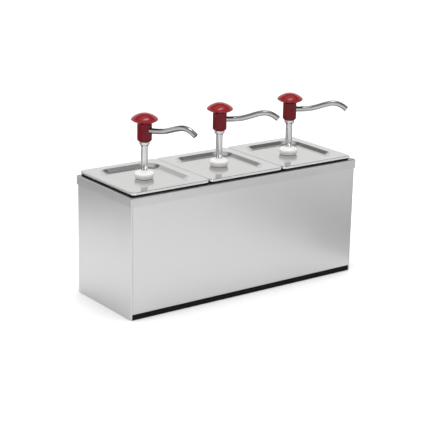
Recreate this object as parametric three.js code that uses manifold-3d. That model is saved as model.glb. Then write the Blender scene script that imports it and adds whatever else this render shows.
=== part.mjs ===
// Countertop condiment pump station: a stainless steel case that holds three deep pans, each with a
// pressed lid, and through each lid a plunger pump with a swivelling spout. Millimetres, +Z up,
// origin at the middle of the case's underside, +X along its length, -Y towards its front.
import * as THREE from 'three';
import { mergeVertices } from 'three/addons/utils/BufferGeometryUtils.js';
import Module from 'manifold-3d';

const wasm = await Module();
wasm.setup();

// ---- Driving dimensions ----

const OVERALL_LENGTH = 500;
const OVERALL_DEPTH = 180;
const OVERALL_HEIGHT = 340;
const CASE_HEIGHT = 220;

// Gap that pieces keep where they touch, and the extra radius of a hole over its shaft.
const FIT_GAP = 0.3;

// Case sheet metal.
const SHEET = 1.2;
const BAND_HEIGHT = 17;
const BAND_BEND = 3;
const BAND_PROUD = 2;
const PANEL_TOP = CASE_HEIGHT - BAND_BEND - FIT_GAP;
const END_RETURN = 2.1;
const BEND_RADIUS = 2;
const PANEL_LIP = 12;
const TRAY_HEIGHT = 9.5;
const TRAY_WALL = 2.5;
const TRAY_SETBACK = 0.5;
const FLOOR_FLANGE = 8;

// The three stations, and the opening that their pans hang in.
const STATION_PITCH = 162;
const STATION_SHIFT = -3;
const OPENING_LENGTH = 472;
const OPENING_DEPTH = 160;
const OPENING_RADIUS = 8;
const CROSSBAR_WIDTH = 18;
const CROSSBAR_HEIGHT = 12;

// Pans and lids.
const PAN_LENGTH = 155.4;
const PAN_DEPTH = 169.4;
const PAN_BOTTOM = 21.8;
const PAN_RIM_TOP = CASE_HEIGHT + FIT_GAP + SHEET;
const PAN_SHEET = 1;
const LID_LENGTH = 161;
const LID_DEPTH = 175;
const LID_TOP = 228;
const LID_FLOOR = 222.6;
const LID_SHEET = 1;
const LID_SKIRT_BOTTOM = 223.8;
const LID_HOLE_RADIUS = 12.5;
const SEAL_BOTTOM = 220.6;
const SEAL_LIP = 1.2;
const SEAL_WIDTH = 8;

// Pump.
const STROKE = 42;
const STROKE_CLEARANCE = 1.5;
const NUT_TOP = 238;
const NUT_RADIUS = 16.9;
const STEM_RADIUS = 6;
const STEM_BORE = 4;
const STEM_BOTTOM = 209.8;
const STEM_TOP = 303.2;
const CYLINDER_BORE = 16;
const CYLINDER_RADIUS = 18;
const CYLINDER_BOTTOM = 122;
const CYLINDER_ROOF = 214.5;
const NECK_RADIUS = 12;
const NECK_TOP = 230.8;
const FLANGE_RADIUS = 21;
const FLANGE_BOTTOM = 215.9;
const FLANGE_TOP = 218.9;
const PISTON_BOTTOM = 192;
const PISTON_TOP = 213;
const PISTON_RADIUS = 15.5;
const SEAL_GROOVE_RADIUS = 13;
const SEAL_GROOVE = [198, 204];
const SPRING_FLOOR = 119;
const SPRING_COIL_RADIUS = 12.2;
const SPRING_WIRE_RADIUS = 1.1;
const SPRING_TURNS = 6;
const SUCTION_TUBE_BOTTOM = 32;
const COLLAR_BOTTOM = NUT_TOP + STROKE + STROKE_CLEARANCE;
const HEAD_BOTTOM = 289;
const HEAD_TOP = 322;
const HEAD_CORNER_RADIUS = 13.3;
const KNOB_RADIUS = 24;
const KNOB_WIDEST = 328.7;
const SPOUT_RADIUS = 5;
const SPOUT_BORE = 3.9;
const SPOUT_HEIGHT = 309.4;

// Each station's name, and the way its spout points, in degrees round from +X.
const STATIONS = [
  { name: 'left', spoutAngle: -68 },
  { name: 'middle', spoutAngle: -40 },
  { name: 'right', spoutAngle: -42 },
];

// Facets of round pieces: those in view, and those inside the pans.
const OUTSIDE_STEPS = 16;
const INSIDE_STEPS = 12;
const CORNER_STEPS = 3;

// ---- Materials ----

const FINISHES = {
  brushedSteel: { color: 0xc4c3c3, roughness: 0.42, metalness: 0.95 },
  polishedSteel: { color: 0xd0d0d0, roughness: 0.16, metalness: 1 },
  redPlastic: { color: 0x9a2029, roughness: 0.22, metalness: 0 },
  whitePlastic: { color: 0xf2f1ef, roughness: 0.38, metalness: 0 },
  blackPlastic: { color: 0x141717, roughness: 0.6, metalness: 0 },
  paleRubber: { color: 0xd9d4c8, roughness: 0.7, metalness: 0 },
  blackRubber: { color: 0x101212, roughness: 0.7, metalness: 0 },
};

function named(name, geometry, finish) {
  const mesh = new THREE.Mesh(geometry, new THREE.MeshStandardMaterial(FINISHES[finish]));
  mesh.name = name;
  return mesh;
}

// ---- Solids and booleans ----

function toSolid(geometry) {
  const bare = geometry.clone();
  bare.deleteAttribute('normal');
  bare.deleteAttribute('uv');
  const merged = mergeVertices(bare, 1e-3);
  const vertProperties = new Float32Array(merged.attributes.position.array);
  const triVerts = new Uint32Array(merged.index.array);
  return new wasm.Manifold(new wasm.Mesh({ numProp: 3, vertProperties, triVerts }));
}

function toGeometry(solid) {
  const mesh = solid.getMesh();
  const geometry = new THREE.BufferGeometry();
  geometry.setAttribute('position', new THREE.BufferAttribute(mesh.vertProperties, mesh.numProp));
  geometry.setIndex(new THREE.BufferAttribute(mesh.triVerts, 1));
  geometry.computeVertexNormals();
  return geometry;
}

// Removes each cutter from a geometry.
function cut(geometry, ...cutters) {
  const start = toSolid(geometry);
  return toGeometry(cutters.reduce((solid, cutter) => solid.subtract(toSolid(cutter)), start));
}

// Turns a profile of [radius, height] points round the Z axis.
function turned(profile, steps) {
  const points = profile.map(([radius, height]) => new THREE.Vector2(radius, height));
  return new THREE.LatheGeometry(points, steps).rotateX(Math.PI / 2);
}

// A ring: the profile's last point joins its first.
function turnedRing(profile, steps) {
  return turned([...profile, profile[0]], steps);
}

// An upright round bar from one height to another.
function bar(radius, low, high, steps) {
  return turned([[0, low], [radius, low], [radius, high], [0, high]], steps);
}

// A rectangle's outline with rounded corners, counterclockwise from its +X +Y corner.
function roundedOutline(length, depth, radius, shiftX = 0) {
  const points = [];
  const corners = [[1, 1], [-1, 1], [-1, -1], [1, -1]];
  corners.forEach(([sideX, sideY], quarter) => {
    for (let step = 0; step <= CORNER_STEPS; step += 1) {
      const angle = (quarter + step / CORNER_STEPS) * Math.PI / 2;
      const x = shiftX + sideX * (length / 2 - radius) + radius * Math.cos(angle);
      const y = sideY * (depth / 2 - radius) + radius * Math.sin(angle);
      points.push(new THREE.Vector2(x, y));
    }
  });
  return points;
}

// Skins a stack of rounded rectangles into one closed surface. Each ring is [outline, height]. The
// rings run up the outside and back down the inside. A looped stack joins its last ring to its
// first, and any other is closed by a flat sheet across its first ring and one across its last.
function skinned(rings, looped = false) {
  const count = rings[0][0].length;
  const positions = rings.flatMap(([outline, height]) => outline.flatMap(({ x, y }) => [x, y, height]));
  const indices = [];
  const bands = looped ? rings.length : rings.length - 1;
  for (let band = 0; band < bands; band += 1) {
    const low = band * count;
    const high = ((band + 1) % rings.length) * count;
    for (let side = 0; side < count; side += 1) {
      const next = (side + 1) % count;
      indices.push(low + side, low + next, high + next);
      indices.push(low + side, high + next, high + side);
    }
  }
  if (!looped) {
    const top = (rings.length - 1) * count;
    for (const [a, b, c] of THREE.ShapeUtils.triangulateShape(rings[0][0], [])) indices.push(c, b, a);
    for (const face of THREE.ShapeUtils.triangulateShape(rings.at(-1)[0], [])) {
      indices.push(...face.map((corner) => top + corner));
    }
  }
  const geometry = new THREE.BufferGeometry();
  geometry.setAttribute('position', new THREE.Float32BufferAttribute(positions, 3));
  geometry.setIndex(indices);
  geometry.computeVertexNormals();
  return geometry;
}

// A stack of rings given as [inset from the full outline, height, corner radius].
function pressing(length, depth, rings) {
  return skinned(rings.map(([inset, height, radius]) => [
    roundedOutline(length - 2 * inset, depth - 2 * inset, radius),
    height,
  ]));
}

// ---- Case ----

// Folded band round the top of the case, with a flange inwards that the pans' rims rest on.
function topFrame() {
  const low = CASE_HEIGHT - BAND_HEIGHT;
  const outer = (inset, height) => [
    roundedOutline(
      OVERALL_LENGTH - 2 * inset,
      OVERALL_DEPTH - 2 * inset,
      Math.max(BEND_RADIUS - inset, BEND_RADIUS - SHEET),
    ),
    height,
  ];
  const opening = (height) => [
    roundedOutline(OPENING_LENGTH, OPENING_DEPTH, OPENING_RADIUS, STATION_SHIFT),
    height,
  ];
  const bend = (turn) => outer(
    BAND_BEND * (1 - Math.cos(turn)),
    CASE_HEIGHT - BAND_BEND * (1 - Math.sin(turn)),
  );
  return skinned([
    outer(SHEET, low),
    outer(0, low),
    ...[0, 1, 2, 3].map((step) => bend(step * Math.PI / 6)),
    opening(CASE_HEIGHT),
    opening(CASE_HEIGHT - SHEET),
    outer(BAND_BEND, CASE_HEIGHT - SHEET),
    outer(SHEET, CASE_HEIGHT - BAND_BEND),
  ], true);
}

// Inverted channel welded between the top frame's front and rear flanges, under two pans' rims.
function crossbar() {
  const half = CROSSBAR_WIDTH / 2;
  const length = OPENING_DEPTH - 2 * FIT_GAP;
  const section = new THREE.Shape();
  section.moveTo(-half, 0);
  section.lineTo(-half, -CROSSBAR_HEIGHT);
  section.lineTo(-half + SHEET, -CROSSBAR_HEIGHT);
  section.lineTo(-half + SHEET, -SHEET);
  section.lineTo(half - SHEET, -SHEET);
  section.lineTo(half - SHEET, -CROSSBAR_HEIGHT);
  section.lineTo(half, -CROSSBAR_HEIGHT);
  section.lineTo(half, 0);
  const channel = new THREE.ExtrudeGeometry(section, { depth: length, bevelEnabled: false });
  return channel.rotateX(Math.PI / 2).translate(0, length / 2, CASE_HEIGHT);
}

// The panels' outer faces, which sit back from the top band.
const FACE_X = OVERALL_LENGTH / 2 - BAND_PROUD;
const FACE_Y = OVERALL_DEPTH / 2 - BAND_PROUD;

// Left end panel: a sheet down to the table whose two edges fold round the case's corners.
function endPanel() {
  const inner = BEND_RADIUS - SHEET;
  const returnX = -FACE_X + END_RETURN;
  const foldX = -FACE_X + BEND_RADIUS;
  const foldY = FACE_Y - BEND_RADIUS;
  const section = new THREE.Shape();
  section.moveTo(returnX, -FACE_Y);
  section.lineTo(returnX, -FACE_Y + SHEET);
  section.lineTo(foldX, -FACE_Y + SHEET);
  section.absarc(foldX, -foldY, inner, -Math.PI / 2, Math.PI, true);
  section.lineTo(-FACE_X + SHEET, foldY);
  section.absarc(foldX, foldY, inner, Math.PI, Math.PI / 2, true);
  section.lineTo(returnX, FACE_Y - SHEET);
  section.lineTo(returnX, FACE_Y);
  section.lineTo(foldX, FACE_Y);
  section.absarc(foldX, foldY, BEND_RADIUS, Math.PI / 2, Math.PI, false);
  section.lineTo(-FACE_X, -foldY);
  section.absarc(foldX, -foldY, BEND_RADIUS, Math.PI, 1.5 * Math.PI, false);
  return new THREE.ExtrudeGeometry(section, {
    depth: PANEL_TOP,
    bevelEnabled: false,
    curveSegments: CORNER_STEPS,
  });
}

// Long panel, placed as the front one: a sheet between the end panels that stops above the base
// tray and folds inwards.
function longPanel() {
  const low = TRAY_HEIGHT + FIT_GAP;
  const length = 2 * (FACE_X - END_RETURN - FIT_GAP);
  const section = new THREE.Shape();
  section.moveTo(-FACE_Y, low + SHEET / 2);
  section.lineTo(-FACE_Y + SHEET / 2, low);
  section.lineTo(-FACE_Y + PANEL_LIP, low);
  section.lineTo(-FACE_Y + PANEL_LIP, low + SHEET);
  section.lineTo(-FACE_Y + SHEET, low + SHEET);
  section.lineTo(-FACE_Y + SHEET, PANEL_TOP);
  section.lineTo(-FACE_Y, PANEL_TOP);
  const panel = new THREE.ExtrudeGeometry(section, { depth: length, bevelEnabled: false });
  // The section's axes become Y and Z, and the extrusion runs along X.
  return panel.rotateX(Math.PI / 2).rotateZ(Math.PI / 2).translate(-length / 2, 0, 0);
}

// Steel floor of the case, resting on the panels' lips, with an upturned edge.
function floorPlate() {
  const low = TRAY_HEIGHT + SHEET + 2 * FIT_GAP;
  const inset = END_RETURN + FIT_GAP;
  return pressing(2 * (FACE_X - inset), 2 * (FACE_Y - SHEET - FIT_GAP), [
    [0, low, BEND_RADIUS],
    [0, low + FLOOR_FLANGE, BEND_RADIUS],
    [SHEET, low + FLOOR_FLANGE, BEND_RADIUS - SHEET],
    [SHEET, low + SHEET, BEND_RADIUS - SHEET],
  ]);
}

// Shallow black tray that the case stands on. Its edge shows under the front and rear panels.
function baseTray() {
  const length = 2 * (FACE_X - END_RETURN - FIT_GAP);
  const depth = 2 * (FACE_Y - TRAY_SETBACK);
  return pressing(length, depth, [
    [0, 0, BEND_RADIUS],
    [0, TRAY_HEIGHT, BEND_RADIUS],
    [TRAY_WALL, TRAY_HEIGHT, 1],
    [TRAY_WALL, TRAY_WALL, 1],
  ]);
}

// ---- Pan and lid ----

// Deep drawn pan: the outside from its bottom up to the flat rim, then the inside back down.
function pan() {
  return pressing(PAN_LENGTH, PAN_DEPTH, [
    [30.7, PAN_BOTTOM, 18],
    [21.2, PAN_BOTTOM + 2.7, 24],
    [17.7, PAN_BOTTOM + 11.2, 27],
    [11.1, PAN_RIM_TOP - 8.8, 30],
    [10.3, PAN_RIM_TOP - SHEET, 31],
    [0, PAN_RIM_TOP - SHEET, 7],
    [0, PAN_RIM_TOP, 7],
    [10.1, PAN_RIM_TOP, 31],
    [11.6, PAN_RIM_TOP - 1.4, 30],
    [12, PAN_RIM_TOP - 8.8, 29.5],
    [18.6, PAN_BOTTOM + 11.7, 26.5],
    [21.9, PAN_BOTTOM + 3.8, 23.5],
    [30.7, PAN_BOTTOM + PAN_SHEET, 18],
  ]);
}

// Pressed lid: the underside from its middle out to the skirt, then the top back to the middle.
function lid() {
  const under = LID_TOP - LID_SHEET;
  const sheet = pressing(LID_LENGTH, LID_DEPTH, [
    [27, LID_FLOOR - LID_SHEET, 20],
    [23.6, LID_FLOOR - 0.4, 23],
    [19.4, under - 1, 26.4],
    [17.4, under, 28],
    [2, under, 7],
    [1, under - 0.6, 7],
    [1, LID_SKIRT_BOTTOM, 7],
    [0, LID_SKIRT_BOTTOM, 8],
    [0, LID_TOP - 1.2, 8],
    [0.4, LID_TOP - 0.4, 7.7],
    [1.4, LID_TOP, 7],
    [17.2, LID_TOP, 28.8],
    [20.2, LID_TOP - 1, 26.6],
    [24.4, LID_FLOOR + 0.7, 23.4],
    [27, LID_FLOOR, 21.6],
  ]);
  return cut(sheet, bar(LID_HOLE_RADIUS, LID_FLOOR - 5, LID_FLOOR + 5, OUTSIDE_STEPS));
}

// Black seal inside the lid's turned-down edge. It lies on the pan's rim and laps round its edge.
function lidSeal() {
  const outer = LID_SHEET + FIT_GAP;
  const under = LID_TOP - LID_SHEET - FIT_GAP;
  const rest = PAN_RIM_TOP + FIT_GAP;
  const ring = (inset, height, radius) => [
    roundedOutline(LID_LENGTH - 2 * inset, LID_DEPTH - 2 * inset, radius),
    height,
  ];
  return skinned([
    ring(outer + SEAL_LIP, SEAL_BOTTOM, 6),
    ring(outer, SEAL_BOTTOM, 7),
    ring(outer, under - 1, 7),
    ring(outer + 1, under, 6),
    ring(outer + SEAL_WIDTH, under, 6),
    ring(outer + SEAL_WIDTH, rest, 6),
    ring(outer + SEAL_LIP, rest, 6),
  ], true);
}

// ---- Pump: what stays with the lid ----

const STEM_HOLE = STEM_RADIUS + FIT_GAP;

// Nut that clamps the pump to the lid, with a low neck that guides the stem.
function lockNut() {
  const low = LID_FLOOR + FIT_GAP;
  const roof = NECK_TOP + FIT_GAP;
  return turnedRing([
    [NECK_RADIUS + FIT_GAP, low],
    [14.8, low],
    [16.6, low + 4.5],
    [NUT_RADIUS, low + 7.6],
    [16, low + 10],
    [13.4, low + 11.6],
    [8.6, low + 12.6],
    [7.8, NUT_TOP],
    [STEM_HOLE, NUT_TOP],
    [STEM_HOLE, roof],
    [NECK_RADIUS + FIT_GAP, roof],
  ], OUTSIDE_STEPS);
}

// Pump cylinder, hung from its flange under the lid, with a threaded neck up through the lid.
function cylinder() {
  return turnedRing([
    [CYLINDER_BORE, CYLINDER_BOTTOM],
    [CYLINDER_RADIUS, CYLINDER_BOTTOM],
    [CYLINDER_RADIUS, FLANGE_BOTTOM],
    [FLANGE_RADIUS, FLANGE_BOTTOM],
    [FLANGE_RADIUS, FLANGE_TOP],
    [NECK_RADIUS, FLANGE_TOP],
    [NECK_RADIUS, NECK_TOP],
    [STEM_HOLE, NECK_TOP],
    [STEM_HOLE, CYLINDER_ROOF],
    [CYLINDER_BORE, CYLINDER_ROOF],
  ], INSIDE_STEPS);
}

const INLET_BALL_RADIUS = 6;
const INLET_BALL_HEIGHT = 120.7;
const CAP_BOTTOM = 114;
const SPIGOT_BOTTOM = 98;
const SPIGOT_RADIUS = 5.5;

// Cap on the cylinder's lower end: a cage for the inlet ball inside, and a spigot below.
function inletCap() {
  const ledge = CYLINDER_BOTTOM - FIT_GAP;
  return turnedRing([
    [3.6, SPIGOT_BOTTOM],
    [SPIGOT_RADIUS, SPIGOT_BOTTOM],
    [SPIGOT_RADIUS, CAP_BOTTOM],
    [FLANGE_RADIUS, CAP_BOTTOM],
    [FLANGE_RADIUS, 132],
    [CYLINDER_RADIUS + FIT_GAP, 132],
    [CYLINDER_RADIUS + FIT_GAP, ledge],
    [CYLINDER_BORE - 0.5, ledge],
    [CYLINDER_BORE - 0.5, SPRING_FLOOR],
    [9, SPRING_FLOOR],
    [9, 133],
    [4.8, 133],
    [4.8, 131.5],
    [6.8, 131.5],
    [6.8, 119.4],
    [4.5, 116],
    [3.6, 112],
  ], INSIDE_STEPS);
}

function suctionTube() {
  return turnedRing([
    [SPIGOT_RADIUS + FIT_GAP, SUCTION_TUBE_BOTTOM],
    [7.6, SUCTION_TUBE_BOTTOM],
    [7.6, CAP_BOTTOM - FIT_GAP],
    [SPIGOT_RADIUS + FIT_GAP, CAP_BOTTOM - FIT_GAP],
  ], INSIDE_STEPS);
}

function ball(radius, height) {
  return new THREE.SphereGeometry(radius, 8, 5).rotateX(Math.PI / 2).translate(0, 0, height);
}

// Compression spring from the inlet cap up to the piston.
class Helix extends THREE.Curve {
  constructor(low, high) {
    super();
    this.low = low;
    this.high = high;
  }

  getPoint(t, target = new THREE.Vector3()) {
    const angle = t * SPRING_TURNS * 2 * Math.PI;
    const height = THREE.MathUtils.lerp(this.low, this.high, t);
    const x = SPRING_COIL_RADIUS * Math.cos(angle);
    const y = SPRING_COIL_RADIUS * Math.sin(angle);
    return target.set(x, y, height);
  }
}

function returnSpring() {
  const clearance = SPRING_WIRE_RADIUS + FIT_GAP;
  const section = new THREE.Shape();
  section.absarc(0, 0, SPRING_WIRE_RADIUS, 0, 2 * Math.PI, false);
  return new THREE.ExtrudeGeometry(section, {
    extrudePath: new Helix(SPRING_FLOOR + clearance, PISTON_BOTTOM - clearance),
    steps: SPRING_TURNS * 8,
    curveSegments: 3,
  });
}

// ---- Pump: what goes down with the knob ----

const OUTLET_BALL_RADIUS = 5;
const OUTLET_BALL_HEIGHT = 198.9;

// Piston with a groove for its seal, and a passage through it with a seat for the outlet ball.
function piston() {
  const [grooveLow, grooveHigh] = SEAL_GROOVE;
  return turnedRing([
    [3.5, PISTON_BOTTOM],
    [PISTON_RADIUS - 0.8, PISTON_BOTTOM],
    [PISTON_RADIUS, PISTON_BOTTOM + 0.8],
    [PISTON_RADIUS, grooveLow],
    [SEAL_GROOVE_RADIUS, grooveLow],
    [SEAL_GROOVE_RADIUS, grooveHigh],
    [PISTON_RADIUS, grooveHigh],
    [PISTON_RADIUS, PISTON_TOP - 0.8],
    [PISTON_RADIUS - 0.8, PISTON_TOP],
    [STEM_HOLE, PISTON_TOP],
    [STEM_HOLE, STEM_BOTTOM - 0.4],
    [5.8, STEM_BOTTOM - 0.4],
    [5.8, 198],
    [3.5, 194.5],
  ], INSIDE_STEPS);
}

function pistonSeal() {
  const low = SEAL_GROOVE[0] + FIT_GAP;
  const high = SEAL_GROOVE[1] - FIT_GAP;
  const outer = CYLINDER_BORE - FIT_GAP;
  return turnedRing([
    [SEAL_GROOVE_RADIUS + FIT_GAP, low],
    [outer - 0.4, low],
    [outer, (low + high) / 2],
    [outer - 0.4, high],
    [SEAL_GROOVE_RADIUS + FIT_GAP, high],
  ], INSIDE_STEPS);
}

function stem() {
  return turnedRing([
    [STEM_BORE, STEM_BOTTOM],
    [STEM_RADIUS, STEM_BOTTOM],
    [STEM_RADIUS, STEM_TOP],
    [STEM_BORE, STEM_TOP],
  ], OUTSIDE_STEPS);
}

function collar() {
  const high = HEAD_BOTTOM - FIT_GAP;
  return turnedRing([
    [STEM_HOLE, COLLAR_BOTTOM],
    [7, COLLAR_BOTTOM],
    [9, COLLAR_BOTTOM + 2.6],
    [9, high - 1],
    [8, high],
    [STEM_HOLE, high],
  ], OUTSIDE_STEPS);
}

const SPIGOT_SOCKET_BOTTOM = HEAD_TOP - 5.8;
const KNOB_SPIGOT_RADIUS = 4.7;

// Eight-sided head, bored for the stem from below, the spout from its side and the knob on top.
function head() {
  const body = turned([
    [0, HEAD_BOTTOM],
    [HEAD_CORNER_RADIUS - 3, HEAD_BOTTOM],
    [HEAD_CORNER_RADIUS, HEAD_BOTTOM + 3],
    [HEAD_CORNER_RADIUS, HEAD_TOP - 1],
    [HEAD_CORNER_RADIUS - 1, HEAD_TOP],
    [0, HEAD_TOP],
  ], 8).rotateZ(Math.PI / 8);
  const stemSocket = bar(STEM_HOLE, HEAD_BOTTOM - 5, STEM_TOP + FIT_GAP, OUTSIDE_STEPS);
  const passage = bar(STEM_BORE, STEM_TOP - 1, SPOUT_HEIGHT, OUTSIDE_STEPS);
  const knobSocket = bar(KNOB_SPIGOT_RADIUS + FIT_GAP, SPIGOT_SOCKET_BOTTOM, HEAD_TOP + 5, OUTSIDE_STEPS);
  const spoutHole = bar(SPOUT_RADIUS + FIT_GAP, -1, 2 * HEAD_CORNER_RADIUS, OUTSIDE_STEPS);
  spoutHole.rotateY(Math.PI / 2).translate(0, 0, SPOUT_HEIGHT);
  return cut(body, stemSocket, passage, knobSocket, spoutHole);
}

// Mushroom knob with a spigot down into the head.
function knob() {
  const low = HEAD_TOP + FIT_GAP;
  return turned([
    [0, SPIGOT_SOCKET_BOTTOM + FIT_GAP],
    [KNOB_SPIGOT_RADIUS, SPIGOT_SOCKET_BOTTOM + FIT_GAP],
    [KNOB_SPIGOT_RADIUS, low],
    [12, low],
    [17, low + 1.2],
    [21.4, low + 3.4],
    [23.4, low + 4.8],
    [KNOB_RADIUS, KNOB_WIDEST],
    [KNOB_RADIUS - 1.4, KNOB_WIDEST + 2],
    [KNOB_RADIUS - 5.6, KNOB_WIDEST + 5.4],
    [13, OVERALL_HEIGHT - 3],
    [6.8, OVERALL_HEIGHT - 0.8],
    [0, OVERALL_HEIGHT],
  ], OUTSIDE_STEPS);
}

// Bent tube, from inside the head out along +X: level, then a rise, a crest and a turn down.
function spout() {
  const route = [
    [5.5, 0], [16, 0.3], [28, 1.3], [40, 3], [52, 6.4], [66, 11.2], [78, 14],
    [86, 13.9], [94, 11.4], [100.5, 7.7], [105.5, 4],
  ];
  const path = new THREE.CatmullRomCurve3(
    route.map(([reach, rise]) => new THREE.Vector3(reach, 0, SPOUT_HEIGHT + rise)),
  );
  const section = new THREE.Shape();
  section.absarc(0, 0, SPOUT_RADIUS, 0, 2 * Math.PI, false);
  const bore = new THREE.Path();
  bore.absarc(0, 0, SPOUT_BORE, 0, 2 * Math.PI, true);
  section.holes.push(bore);
  return new THREE.ExtrudeGeometry(section, { extrudePath: path, steps: 15, curveSegments: 4 });
}

// ---- Assembly ----

function buildCase() {
  const group = new THREE.Group();
  const rear = longPanel().rotateZ(Math.PI);
  const right = endPanel().rotateZ(Math.PI);
  const leftBar = crossbar().translate(STATION_SHIFT - STATION_PITCH / 2, 0, 0);
  const rightBar = crossbar().translate(STATION_SHIFT + STATION_PITCH / 2, 0, 0);
  group.add(named('top_frame', topFrame(), 'brushedSteel'));
  group.add(named('crossbar_left', leftBar, 'brushedSteel'));
  group.add(named('crossbar_right', rightBar, 'brushedSteel'));
  group.add(named('end_panel_left', endPanel(), 'brushedSteel'));
  group.add(named('end_panel_right', right, 'brushedSteel'));
  group.add(named('front_panel', longPanel(), 'brushedSteel'));
  group.add(named('rear_panel', rear, 'brushedSteel'));
  group.add(named('floor_plate', floorPlate(), 'brushedSteel'));
  group.add(named('base_tray', baseTray(), 'blackPlastic'));
  return group;
}

function buildStation(name, spoutAngle) {
  const station = new THREE.Group();
  station.add(named(`pan_${name}`, pan(), 'brushedSteel'));
  station.add(named(`lid_${name}`, lid(), 'polishedSteel'));
  station.add(named(`lock_nut_${name}`, lockNut(), 'whitePlastic'));
  station.add(named(`lid_seal_${name}`, lidSeal(), 'blackRubber'));
  station.add(named(`cylinder_${name}`, cylinder(), 'whitePlastic'));
  station.add(named(`inlet_cap_${name}`, inletCap(), 'whitePlastic'));
  station.add(named(`suction_tube_${name}`, suctionTube(), 'whitePlastic'));
  station.add(named(`inlet_ball_${name}`, ball(INLET_BALL_RADIUS, INLET_BALL_HEIGHT), 'polishedSteel'));
  station.add(named(`return_spring_${name}`, returnSpring(), 'polishedSteel'));
  station.add(named(`piston_${name}`, piston(), 'whitePlastic'));
  station.add(named(`piston_seal_${name}`, pistonSeal(), 'paleRubber'));
  station.add(named(`outlet_ball_${name}`, ball(OUTLET_BALL_RADIUS, OUTLET_BALL_HEIGHT), 'polishedSteel'));
  station.add(named(`stem_${name}`, stem(), 'polishedSteel'));
  station.add(named(`collar_${name}`, collar(), 'polishedSteel'));

  const swivel = new THREE.Group();
  swivel.rotation.z = THREE.MathUtils.degToRad(spoutAngle);
  swivel.add(named(`head_${name}`, head(), 'redPlastic'));
  swivel.add(named(`knob_${name}`, knob(), 'redPlastic'));
  swivel.add(named(`spout_${name}`, spout(), 'polishedSteel'));
  station.add(swivel);
  return station;
}

const dispenser = new THREE.Group();
dispenser.add(buildCase());
STATIONS.forEach(({ name, spoutAngle }, place) => {
  const station = buildStation(name, spoutAngle);
  station.position.x = STATION_SHIFT + (place - 1) * STATION_PITCH;
  dispenser.add(station);
});

export default dispenser;
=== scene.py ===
import math

import bmesh
import bpy
from mathutils import Matrix, Vector

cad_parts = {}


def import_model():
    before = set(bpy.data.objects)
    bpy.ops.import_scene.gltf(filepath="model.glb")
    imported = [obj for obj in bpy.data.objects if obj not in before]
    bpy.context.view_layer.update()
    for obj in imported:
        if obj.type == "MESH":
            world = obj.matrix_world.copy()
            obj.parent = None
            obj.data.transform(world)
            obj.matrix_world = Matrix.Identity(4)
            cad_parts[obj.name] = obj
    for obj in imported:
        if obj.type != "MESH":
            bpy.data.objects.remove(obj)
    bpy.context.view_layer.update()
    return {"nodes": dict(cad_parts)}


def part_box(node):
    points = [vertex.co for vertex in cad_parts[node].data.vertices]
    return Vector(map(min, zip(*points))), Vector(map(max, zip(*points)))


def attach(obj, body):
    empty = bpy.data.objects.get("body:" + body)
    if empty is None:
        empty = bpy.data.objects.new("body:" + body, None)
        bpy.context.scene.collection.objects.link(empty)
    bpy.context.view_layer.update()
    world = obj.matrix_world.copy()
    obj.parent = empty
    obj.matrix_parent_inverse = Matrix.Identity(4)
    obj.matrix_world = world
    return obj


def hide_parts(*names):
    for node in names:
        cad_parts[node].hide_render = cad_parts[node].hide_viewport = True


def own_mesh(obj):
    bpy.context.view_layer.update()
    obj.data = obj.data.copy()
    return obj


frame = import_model()

# The looks of a countertop condiment pump station. Shapes are worked out in millimetres in the
# frame's axes, +X along the case and -Y towards its front, and become metres in make_piece().
MM = 0.001
STATIONS = ("left", "middle", "right")

# Sheet metal sizes that the nodes' boxes don't tell.
SHEET = 1.2
OPENING_SHIFT = -3.0
OPENING_LENGTH = 472.0
OPENING_DEPTH = 160.0
OPENING_RADIUS = 8.0
PANEL_RETURN = 2.1
PANEL_BEND = 2.0
PANEL_EDGE = 0.15
BAND_BEND = 3.0
TRAY_GAUGE = 2.5
DISH_INNER_RADIUS = 0.8

# Smoothness of the visual meshes.
TURN_STEPS = 72
KNOB_STEPS = 96
CORNER_STEPS = 10
ARC_STEPS = 5
SMOOTH_ANGLE = math.radians(38)
BEVEL_ANGLE = math.radians(50)
BEVEL_STEPS = 2
MERGE_DISTANCE = 2e-6

# When a path's corner is rounded: the shortest side, and the most that is cut off a side.
SHORTEST_SIDE = 1e-6
LARGEST_CUT = 0.49


# ---- Boxes of the CAD nodes, in millimetres ----

def span(node):
    low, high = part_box(node)
    return [v / MM for v in low], [v / MM for v in high]


def heights(node):
    low, high = span(node)
    return low[2], high[2]


def axis_of(station):
    low, high = span(f"stem_{station}")
    return (low[0] + high[0]) / 2, (low[1] + high[1]) / 2


# ---- Paths ----

def between(a, b, t):
    return tuple(p + (q - p) * t for p, q in zip(a, b))


def rounded(points, closed=True):
    """Rounds the corners of a path. Each point is its coordinates and then its corner's radius."""
    path = []
    count = len(points)
    for i, (*here, radius) in enumerate(points):
        end = not closed and i in (0, count - 1)
        before = points[i - 1][:-1]
        after = points[(i + 1) % count][:-1]
        into = Vector((here[0] - before[0], here[1] - before[1]))
        out = Vector((after[0] - here[0], after[1] - here[1]))
        if end or radius == 0 or min(into.length, out.length) < SHORTEST_SIDE:
            path.append(tuple(here))
            continue
        turn = into.angle(out)
        back = min(
            radius * math.tan(turn / 2), LARGEST_CUT * into.length, LARGEST_CUT * out.length
        )
        start = between(here, before, back / into.length)
        stop = between(here, after, back / out.length)
        steps = max(2, math.ceil(ARC_STEPS * turn / (math.pi / 2)))
        for k in range(steps + 1):
            t = k / steps
            path.append(between(between(start, here, t), between(here, stop, t), t))
    return path


def smoothed(points, steps):
    """A Catmull-Rom curve through the points."""
    path = []
    last = len(points) - 1
    for i in range(last):
        p = [Vector(points[max(0, min(last, i + k))]) for k in (-1, 0, 1, 2)]
        for k in range(steps):
            t = k / steps
            a = p[1] * 2
            b = (p[2] - p[0]) * t
            c = (p[0] * 2 - p[1] * 5 + p[2] * 4 - p[3]) * t * t
            d = (p[1] * 3 - p[0] - p[2] * 3 + p[3]) * t * t * t
            path.append(tuple((a + b + c + d) / 2))
    path.append(tuple(points[last]))
    return path


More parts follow.
